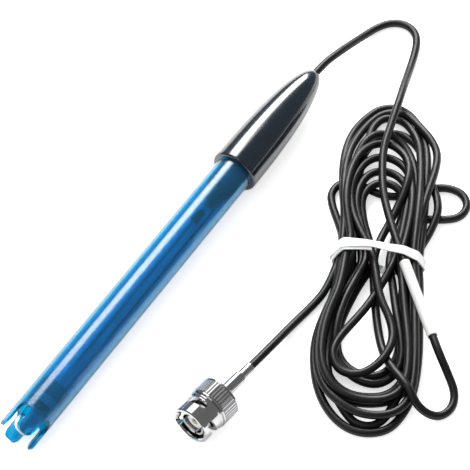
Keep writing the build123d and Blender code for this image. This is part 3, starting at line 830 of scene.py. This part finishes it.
@dataclass
class Tie:
    """A soft flat strip pulled round the waist, with its end folded over."""

    hank: Hank
    width: float = 2.9
    thickness: float = 0.4
    play: float = 0.15
    turn_steps: int = 132
    lap_steps: int = 34
    start_turn: float = 0.3
    half_waist: float = 2.6
    bulge: float = 0.8
    soften: int = 7
    ring_steps: int = 360
    corner_turn: float = 0.35
    lap_lead: int = 10
    lap_rise: float = 4.0
    lap_gap: float = 1.15
    lap_slide: float = 1.5
    tip_steps: int = 9
    tip_lift: float = 0.5
    tip_taper: float = 0.35
    sway: float = 0.75
    sway_waves: float = 6.3
    sway_phase: float = 0.8
    sway_back: float = 0.5
    lean_deg: tuple = (16, 9)
    lean_waves: tuple = (11, 29)
    lean_swell: float = 0.5
    ruffle: float = 0.13
    ruffle_waves: float = 17
    ruffle_phase: float = 1.0
    above_floor: float = 0.12
    section: tuple = ((-1, -1), (-1, 1), (-0.45, 1.3), (0.4, 0.75), (1, 1), (1, -1))

    def wave(self, waves: float, step: int, phase: float = 0.0) -> float:
        """Returns a wave's height, from -1 to 1, at a step round the waist."""
        return math.sin(waves * step / self.turn_steps + phase)

    def ring(self, ropes: list) -> list:
        """Works out the tight line round the strands.

        Args:
            ropes: Places (across, height) of the strands.

        Returns:
            Places (across, height) of the middle of the strip, evenly spaced, anticlockwise.
        """
        reach = self.hank.cable_d / 2 + self.thickness / 2 + self.play
        centres = np.array(ropes)
        corners = []
        for step in range(self.ring_steps):
            angle = 2 * math.pi * step / self.ring_steps
            out = np.array((math.cos(angle), math.sin(angle)))
            corners.append(centres[np.argmax(centres @ out)] + out * reach)
        corners = np.array(corners)
        lengths = np.linalg.norm(np.roll(corners, -1, axis=0) - corners, axis=1)
        places = np.concatenate(([0.0], np.cumsum(lengths)))
        closed = np.vstack([corners, corners[:1]])
        wanted = np.linspace(0, places[-1], self.turn_steps, endpoint=False)
        ring = np.array([[np.interp(s, places, closed[:, k]) for k in (0, 1)] for s in wanted])
        ahead = np.roll(ring, -self.soften, axis=0) - ring
        behind = ring - np.roll(ring, self.soften, axis=0)
        turn = np.abs(ahead[:, 0] * behind[:, 1] - ahead[:, 1] * behind[:, 0])
        turn /= np.linalg.norm(ahead, axis=1) * np.linalg.norm(behind, axis=1) + 1e-9
        slack = self.bulge * (1 - np.clip(turn / self.corner_turn, 0, 1)) * (ring[:, 1] > self.hank.cable_d)
        spread = range(-self.soften, self.soften + 1)
        slack = sum(np.roll(slack, k) for k in spread) / len(spread)
        away = np.stack([ahead[:, 1] + behind[:, 1], -ahead[:, 0] - behind[:, 0]], axis=1)
        away /= np.linalg.norm(away, axis=1)[:, None] + 1e-9
        return list(ring + away * slack[:, None])

    def build(self, control: list) -> bpy.types.Object:
        """Makes the strip as a folded band with thickness.

        Args:
            control: The whole lead's control points, in millimetres.

        Returns:
            The tie.
        """
        ring = self.ring(self.hank.waist_rope(control, self.half_waist))
        middle = sum(ring) / len(ring)
        start = int(self.start_turn * self.turn_steps)
        total = self.turn_steps + self.lap_steps
        bm = bmesh.new()
        rows = []
        for step in range(total + 1):
            place = ring[(start + step) % self.turn_steps]
            ahead = ring[(start + step + 1) % self.turn_steps] - ring[(start + step - 1) % self.turn_steps]
            ahead = ahead / (np.linalg.norm(ahead) + 1e-9)
            out = np.array((ahead[1], -ahead[0]))
            if out @ (place - middle) < 0:
                out = -out
            lap = max(0.0, (step - self.turn_steps + self.lap_lead) / (self.lap_steps + self.lap_lead))
            tip = max(0.0, (step - total + self.tip_steps) / self.tip_steps)
            lift = min(1.0, lap * self.lap_rise) * self.thickness * self.lap_gap + self.tip_lift * tip ** 2
            slide = self.sway * self.wave(self.sway_waves, step, self.sway_phase)
            slide = slide + self.lap_slide * lap - self.sway_back
            leans = zip(self.lean_deg, self.lean_waves)
            lean = math.radians(sum(deg * self.wave(waves, step) for deg, waves in leans))
            ruffle = self.ruffle * self.wave(self.ruffle_waves, step, self.ruffle_phase)
            half = self.width / 2 * (1 + ruffle - self.tip_taper * tip)
            centre = place + out * lift
            row = []
            for side, face in self.section:
                h = slide + side * half * math.cos(lean)
                swell = max(0.0, side * math.sin(lean)) * half * self.lean_swell
                spot = centre + out * (face * self.thickness / 2 + swell)
                row.append(bm.verts.new(self.hank.point(spot[0], h, max(spot[1], self.above_floor)) * MM))
            rows.append(row)
        join_rings(bm, rows)
        bm.faces.new(rows[0])
        bm.faces.new(list(reversed(rows[-1])))
        bmesh.ops.recalc_face_normals(bm, faces=bm.faces)
        piece = finish_mesh("tie", bm, TIE_WHITE.material(), 50.0)
        seat(piece, ROOT, "tie_white", "cord_tie")
        return piece


@dataclass
class Lead:
    """The cord from the cap to the plug, with its white sleeve."""

    stand: Stand
    plug: Stand
    hank: Hank = field(default_factory=Hank)
    total_length: float = 158.6
    nose_entry: float = 2.0
    plug_rear: float = -27.0
    cable_in_ferrule: float = 5.8
    cable_d: float = 2.5
    declared_length: float = 2.4
    over_hank: tuple = (
        (92.0, -1.2, 7.5), (99.5, -1.8, 5.2), (106.5, -2.2, 2.6), (113.0, -3.3, 1.3), (117.6, -6.4, 1.3),
        (119.2, -11.2, 1.3), (117.2, -15.6, 1.3), (112.8, -18.2, 1.3), (106.0, -20.5, 1.5),
        (99.0, -22.8, 3.2), (92.0, -25.4, 6.6), (84.5, -28.0, 8.3), (75.5, -30.6, 7.9), (65.5, -33.6, 8.0),
        (57.0, -38.4, 7.9), (49.0, -43.8, 8.0),
    )
    sleeve_run: tuple = ((37.0, -55.3, 8.7), (9.5, -86.2, 7.6))
    back_to_hank: tuple = (
        (6.8, -91.0, 4.2), (3.6, -95.6, 1.7), (-1.8, -97.3, 1.3), (-6.6, -94.9, 1.5), (-8.1, -89.6, 4.6),
        (-5.5, -84.8, 7.9),
    )
    tail: tuple = ((24.5, -43.0, 2.9), (13.6, -45.1, 1.8), (6.5, -44.3, 1.3), (-2.5, -43.0, 1.3))

    def on_axis(self, stand: Stand, along: float) -> Vector:
        """Returns a place on a stand's axis, in millimetres, in the part's frame."""
        return stand.matrix() @ Vector((along * MM, 0, 0)) / MM

    def straight_run(self) -> list:
        """Returns the points of the straight run under the sleeve, with one more near each corner."""
        start, end = (Vector(p) for p in self.sleeve_run)
        before = (start - Vector(self.over_hank[-1])).length
        after = (Vector(self.back_to_hank[0]) - end).length
        along = (end - start).normalized()
        return [start, start + along * before, end - along * after, end]

    def points(self) -> list:
        """Returns the whole route's control points, in millimetres."""
        nose = self.total_length
        lead = [self.on_axis(self.stand, nose - self.nose_entry)]
        lead.append(self.on_axis(self.stand, nose + 2 * self.cable_d))
        lead += [Vector(p) for p in self.over_hank] + self.straight_run()
        lead += [Vector(p) for p in self.back_to_hank]
        tail = [Vector(p) for p in self.tail]
        tail.append(self.on_axis(self.plug, self.plug_rear - 3 * self.cable_d))
        tail.append(self.on_axis(self.plug, self.plug_rear + self.cable_in_ferrule))
        return lead + self.hank.settle(lead, tail) + tail

    def cord(self, points: list, on_it: list) -> bpy.types.Object:
        """Lays the cord as one smooth line.

        Args:
            points: The whole route's control points, in millimetres.
            on_it: Pieces that sit on the cord; not used.

        Returns:
            The cord.
        """
        curve = bpy.data.curves.new("cord", "CURVE")
        curve.dimensions = "3D"
        spline = curve.splines.new("NURBS")
        spline.points.add(len(points) - 1)
        for slot, place in zip(spline.points, points):
            slot.co = (*(place * MM), 1.0)
        spline.order_u = 3
        spline.use_endpoint_u = True
        spline.resolution_u = 6
        curve.bevel_depth = self.cable_d / 2 * MM
        curve.bevel_resolution = 5
        curve.use_fill_caps = True
        curve.materials.append(JACKET.material())
        piece = link(bpy.data.objects.new("cord", curve))
        seat(piece, ROOT, "jacket_black", "cord_lead_in", "cord_hank", "cord_tail")
        return piece

    def sleeve(self) -> bpy.types.Object:
        """Makes the white sleeve on the straight run."""
        return dressed_copy("cord_sleeve", SLEEVE_WHITE.material())


@dataclass
class Probe:
    """The electrode itself: guarded tube, glass stem and bulb, cap, and what they hold."""

    stand: Stand
    shaft_length: float = 112.0
    cap_length: float = 46.6
    cap_d: float = 15.2
    nose_d: float = 4.0
    rim_round: float = 0.8
    bulge: float = 2.3
    rim_steps: int = 8
    cap_steps: int = 72
    cap_segments: int = 160
    nose_edge_out: float = 0.12
    nose_edge_in: float = 0.25
    mouth_out: float = 0.05
    mouth_r: float = 1.32
    cord_bore_r: float = 1.3
    cord_bore_length: float = 4.5
    bush_bore_r: float = 2.55
    bush_bore_end: float = 16.6
    core_bore_r: float = 4.5
    shaft_seat_depth: float = 9.05
    shaft_bore_r: float = 5.65

    def crown(self) -> list:
        """Returns the cap's outer line from its rounded rim to its nose, in millimetres."""
        line = []
        for step in range(self.rim_steps + 1):
            angle = math.pi / 2 * step / self.rim_steps
            line.append((self.shaft_length + self.rim_round * (1 - math.sin(angle)),
                         self.cap_d / 2 - self.rim_round * (1 - math.cos(angle))))
        line.reverse()
        shoulder = self.shaft_length + self.rim_round
        reach = self.cap_length - self.rim_round
        end = (1 - (self.nose_d / self.cap_d) ** self.bulge) ** (1 / self.bulge)
        for step in range(1, self.cap_steps + 1):
            share = math.sin(math.pi / 2 * step / self.cap_steps)
            radius = self.cap_d / 2 * (1 - (share * end) ** self.bulge) ** (1 / self.bulge)
            line.append((shoulder + reach * share, radius))
        return line

    def cap(self) -> None:
        """Turns the cap as one clean moulding over the shaft and the cable."""
        nose = self.shaft_length + self.cap_length
        line = self.crown()
        bush = nose - self.cord_bore_length
        core = nose - self.bush_bore_end
        seat_end = self.shaft_length + self.shaft_seat_depth
        lip = [(nose + self.nose_edge_out, self.nose_d / 2 - self.nose_edge_in),
               (nose + self.mouth_out, self.mouth_r), (bush, self.cord_bore_r), (bush, self.bush_bore_r),
               (core, self.bush_bore_r),
               (core, self.core_bore_r), (seat_end, self.core_bore_r), (seat_end, self.shaft_bore_r),
               (self.shaft_length, self.shaft_bore_r)]
        outline = [(x * MM, r * MM) for x, r in line + lip]
        piece = revolved("cap_dressed", outline, self.stand, CAP_GLOSS.material(), self.cap_segments)
        seat(piece, ROOT, "cap_plastic", "cap")

    def build(self) -> None:
        """Makes and dresses every piece of the electrode."""
        self.cap()
        finishes = {
            "body_tube": BLUE_SHELL, "glass_stem_bulb": CLEAR_GLASS, "reference_junction": JUNCTION,
            "lower_seal": LOWER_SEAL, "inner_wire": SILVER_WIRE, "wire_spacer": SPACER, "stem_stopper": SEAL,
            "reference_wire": SILVER_WIRE, "potting_plug": RESIN, "cable_bush": SEAL,
            "cable_end": CABLE_PARTS, "core_splice": TINNED, "shield_splice": TINNED,
            "shield_pigtail": COPPER,
        }
        for node, finish in finishes.items():
            dressed_copy(node, finish.material())


@dataclass
class Plug:
    """The bayonet plug on the lead's end, in millimetres from the nut's front."""

    stand: Stand
    knurl_count: int = 44
    knurl_r: float = 6.6
    knurl_front: float = -8.3
    knurl_rear: float = -12.8
    crown_sunk: float = 0.2
    crown_r: float = 0.24
    crown_wear: float = 0.03
    crown_sides: int = 12
    crown_seed: int = 7
    flange_rear: float = -9.7
    spring_height: float = 0.9
    spring_clear: float = 0.05
    slide: float = 0.5
    ferrule_front: float = -12.95
    ferrule_step: float = -22.4
    ferrule_rear: float = -27.0
    ferrule_front_r: float = 2.1
    ferrule_step_r: float = 1.95
    ferrule_crimp_r: float = 1.55
    step_before: float = 0.22
    step_after: float = 0.1
    end_face: float = 0.3
    dimple_depth: float = 0.07
    dimple_pitch: float = 0.62
    dimples_around: float = 12.0
    ferrule_rows: int = 160
    ferrule_sides: int = 144
    ferrule_sharp_deg: float = 50.0

    def knurl(self) -> bpy.types.Object:
        """Grows one rounded crown on each land of the knurl, each worn a little differently."""
        grower = Grower("knurl_crowns", NICKEL.material(), {
            "Count": self.knurl_count, "Radius": (self.knurl_r - self.crown_sunk) * MM,
            "Length": (self.knurl_front - self.knurl_rear) * MM, "Crown Radius": self.crown_r * MM,
            "Wear": self.crown_wear * MM, "Seed": self.crown_seed})
        nodes = grower.nodes
        ring = nodes.add("GeometryNodeMeshCircle")
        given = grower.given.outputs
        nodes.feed(ring, Vertices=given["Count"], Radius=given["Radius"])
        worn = nodes.add("FunctionNodeRandomValue", data_type="FLOAT")
        nodes.feed(worn, Seed=given["Seed"])
        drop = grower.maths("MULTIPLY", worn.outputs[1], "Wear")
        position = nodes.add("GeometryNodeInputPosition")
        unit = nodes.add("ShaderNodeVectorMath", operation="NORMALIZE")
        nodes.join(position.outputs["Position"], unit.inputs[0])
        inward = nodes.add("ShaderNodeVectorMath", operation="SCALE")
        nodes.join(unit.outputs["Vector"], inward.inputs[0])
        nodes.join(grower.maths("MULTIPLY", drop, -1.0), inward.inputs["Scale"])
        moved = nodes.add("GeometryNodeSetPosition")
        nodes.feed(moved, Geometry=ring.outputs["Mesh"], Offset=inward.outputs["Vector"])
        rod = nodes.add("GeometryNodeMeshCylinder", fill_type="TRIANGLE_FAN")
        rod.inputs["Vertices"].default_value = self.crown_sides
        nodes.feed(rod, Radius=given["Crown Radius"], Depth=given["Length"])
        placed = nodes.add("GeometryNodeInstanceOnPoints")
        nodes.feed(placed, Points=moved.outputs["Geometry"], Instance=rod.outputs["Mesh"])
        middle = (self.knurl_front + self.knurl_rear) / 2 * MM
        turn = Matrix.Rotation(math.pi / 2, 4, "Y")
        piece = grower.grow(placed.outputs["Instances"],
                            self.stand.matrix() @ Matrix.Translation((middle, 0, 0)) @ turn)
        seat(piece, "nut", "nickel")
        return piece

    def ferrule(self) -> bpy.types.Object:
        """Grows the crimped ferrule: a tapered sleeve, a step and an end section with rows of dimples."""
        grower = Grower("ferrule", NICKEL.material(), {
            "Rows": self.ferrule_rows, "Sides": self.ferrule_sides,
            "Length": (self.ferrule_front - self.ferrule_rear + self.end_face) * MM,
            "Dimple Depth": self.dimple_depth * MM, "Dimples Around": self.dimples_around,
            "Dimple Pitch": self.dimple_pitch * MM})
        nodes = grower.nodes
        sheet = nodes.add("GeometryNodeMeshGrid")
        sheet.inputs["Size Y"].default_value = 2 * math.pi
        given = grower.given.outputs
        nodes.feed(sheet, Size_X=given["Length"], Vertices_X=given["Rows"], Vertices_Y=given["Sides"])
        position = nodes.add("GeometryNodeInputPosition")
        split = nodes.add("ShaderNodeSeparateXYZ")
        nodes.join(position.outputs["Position"], split.inputs["Vector"])
        half = grower.maths("MULTIPLY", "Length", 0.5)
        back = grower.maths("SUBTRACT", split.outputs["X"], half)
        raw = grower.maths("ADD", back, self.ferrule_front * MM)
        along = grower.maths("MAXIMUM", raw, self.ferrule_rear * MM)
        past = grower.maths("SUBTRACT", along, raw)
        body = nodes.add("ShaderNodeMapRange", in_1=self.ferrule_step * MM, in_2=self.ferrule_front * MM,
                         in_3=self.ferrule_step_r * MM, in_4=self.ferrule_front_r * MM)
        nodes.join(along, body.inputs[0])
        step = nodes.add("ShaderNodeMapRange", interpolation_type="SMOOTHSTEP",
                         in_1=(self.ferrule_step - self.step_before) * MM,
                         in_2=(self.ferrule_step + self.step_after) * MM)
        nodes.join(along, step.inputs[0])
        rise = grower.maths("SUBTRACT", body.outputs[0], self.ferrule_crimp_r * MM)
        radius = grower.maths("MULTIPLY_ADD", rise, step.outputs[0], self.ferrule_crimp_r * MM)
        around = grower.maths("COSINE", grower.maths("MULTIPLY", split.outputs["Y"], "Dimples Around"))
        pitches = grower.maths("DIVIDE", along, "Dimple Pitch")
        beat = grower.maths("COSINE", grower.maths("MULTIPLY", pitches, 2 * math.pi))
        ups = [grower.maths("MAXIMUM", wave, 0.0) for wave in (around, beat)]
        cup = grower.maths("MULTIPLY", *ups)
        here = grower.maths("SUBTRACT", 1.0, step.outputs[0])
        dent = grower.maths("MULTIPLY", grower.maths("MULTIPLY", cup, here), "Dimple Depth")
        radius = grower.maths("SUBTRACT", radius, dent)
        radius = grower.maths("SUBTRACT", radius, past)
        bent = nodes.add("ShaderNodeCombineXYZ")
        nodes.join(along, bent.inputs[0])
        for index, operation in ((1, "COSINE"), (2, "SINE")):
            share = grower.maths(operation, split.outputs["Y"])
            nodes.join(grower.maths("MULTIPLY", radius, share), bent.inputs[index])
        moved = nodes.add("GeometryNodeSetPosition")
        nodes.feed(moved, Geometry=sheet.outputs["Mesh"], Position=bent.outputs["Vector"])
        piece = grower.grow(moved.outputs["Geometry"], self.stand.matrix(), self.ferrule_sharp_deg)
        seat(piece, ROOT, "nickel", "crimp_ferrule")
        return piece

    def build(self) -> list:
        """Makes and dresses every piece of the plug.

        Returns:
            The pieces, which all sit on the cord.
        """
        finishes = {
            "plug_body": NICKEL, "contact_sleeve": NICKEL, "plug_insulator": INSULATOR,
            "centre_contact": GOLD, "plug_gasket": GASKET, "coupling_nut": NICKEL, "thrust_washer": NICKEL,
            "retaining_ring": SPRING_STEEL, "tail_core": INSULATOR,
        }
        pieces = [dressed_copy(node, finish.material()) for node, finish in finishes.items()]
        return pieces + [self.spring(), self.knurl(), self.ferrule()]

    def spring(self) -> bpy.types.Object:
        """Dresses the spring washer and gives it a mesh of its own."""
        piece = dressed_copy("spring_washer", SPRING_STEEL.material())
        matrix = self.stand.matrix()
        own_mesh(piece)
        return piece


def main() -> None:
    """Builds the studio, the lead and the pieces in order."""
    logging.basicConfig(level=logging.INFO, format="%(message)s")
    electrode = Stand("shaft", along=56.45 * MM, sign=-1)
    plug_stand = Stand("plug_contact", along=-4.2 * MM, sign=1)
    lead = Lead(electrode, plug_stand)
    plug = Plug(plug_stand).build()
    points = lead.points()
    on_it = plug + [lead.sleeve(), Tie(lead.hank).build(points)]
    lead.cord(points, on_it)
    Probe(electrode).build()
    Studio().build(plug)


if __name__ == "__main__":
    main()
